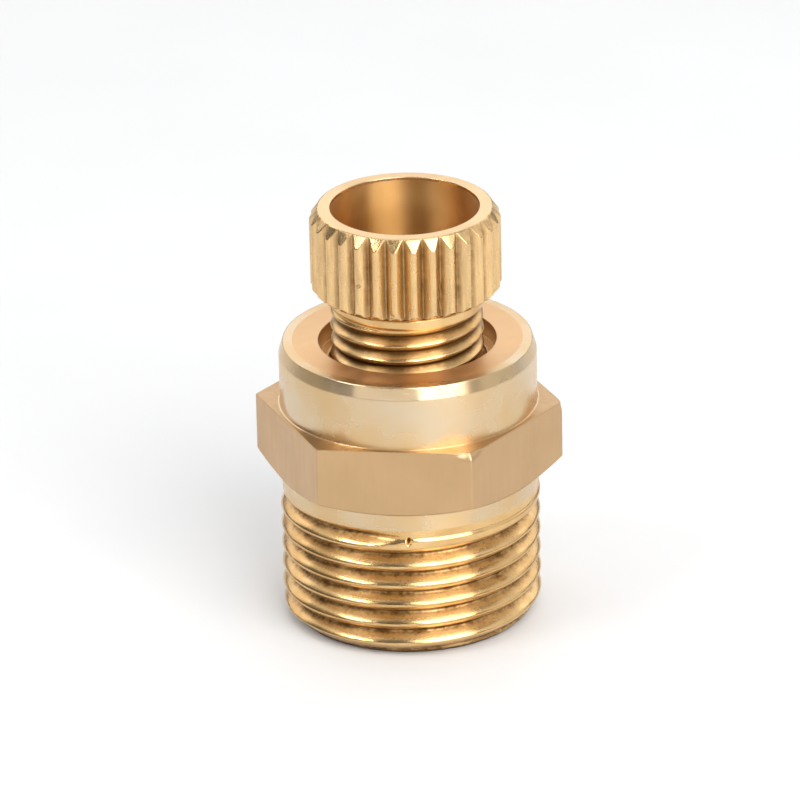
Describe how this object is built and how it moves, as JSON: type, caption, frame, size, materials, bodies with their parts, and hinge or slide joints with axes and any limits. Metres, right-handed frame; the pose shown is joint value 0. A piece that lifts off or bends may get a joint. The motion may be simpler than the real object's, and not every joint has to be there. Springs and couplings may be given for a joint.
{
  "type": "automatic air vent",
  "caption": "Brass radiator air vent with a hexagon, a male pipe-threaded end and a hollow knurled vent screw that holds swelling discs and closes the seat.",
  "frame": {"origin": "centre of the threaded end's flat face, which is the bottom of the part", "axes": "+Z along the common axis, from the threaded end towards the open knurled head; two of the hexagon's flats face -Y and +Y"},
  "size_m": [0.0196, 0.017, 0.0277],
  "materials": {
    "body_brass": "turned and drawn, bare",
    "screw_brass": "turned and knurled, bare",
    "spindle_brass": "turned, bare",
    "washer_brass": "stamped, bare",
    "holder_brass": "turned, bare",
    "strainer_steel": "perforated sheet",
    "spring_steel": "spring steel",
    "seal_rubber": "smooth",
    "pad_rubber": "smooth",
    "disc_fibre": "pressed fibre"
  },
  "bodies": {
    "body": {"valve_body": "body_brass", "inlet_strainer": "strainer_steel", "strainer_ring": "spring_steel"},
    "pad": {"swivel_pad_holder": "holder_brass", "seat_pad": "pad_rubber"},
    "screw": {"vent_screw": "screw_brass", "stem_o_ring": "seal_rubber", "disc_support": "washer_brass", "swelling_disc_1": "disc_fibre", "swelling_disc_2": "disc_fibre", "swelling_disc_3": "disc_fibre", "swelling_disc_4": "disc_fibre", "swelling_disc_5": "disc_fibre", "swelling_disc_6": "disc_fibre", "swelling_disc_7": "disc_fibre", "swelling_disc_8": "disc_fibre", "swelling_disc_9": "disc_fibre", "swelling_disc_10": "disc_fibre", "disc_cover": "washer_brass", "disc_spindle": "spindle_brass", "disc_retaining_ring": "spring_steel"}
  },
  "joints": [
    {"name": "pad_travel", "type": "slide", "parent": "body", "child": "pad", "axis": [0, 0, 1], "range_m": [-0.0015, 0.001]},
    {"name": "screw_turn", "type": "hinge", "parent": "pad", "child": "screw", "pos_m": [0, 0, 0.018], "axis": [0, 0, 1], "range_deg": [-540, 360]}
  ],
  "couplings": [
    {"joint": "screw_turn", "follows": "pad_travel", "rad_per_m": 6283.2}
  ]
}
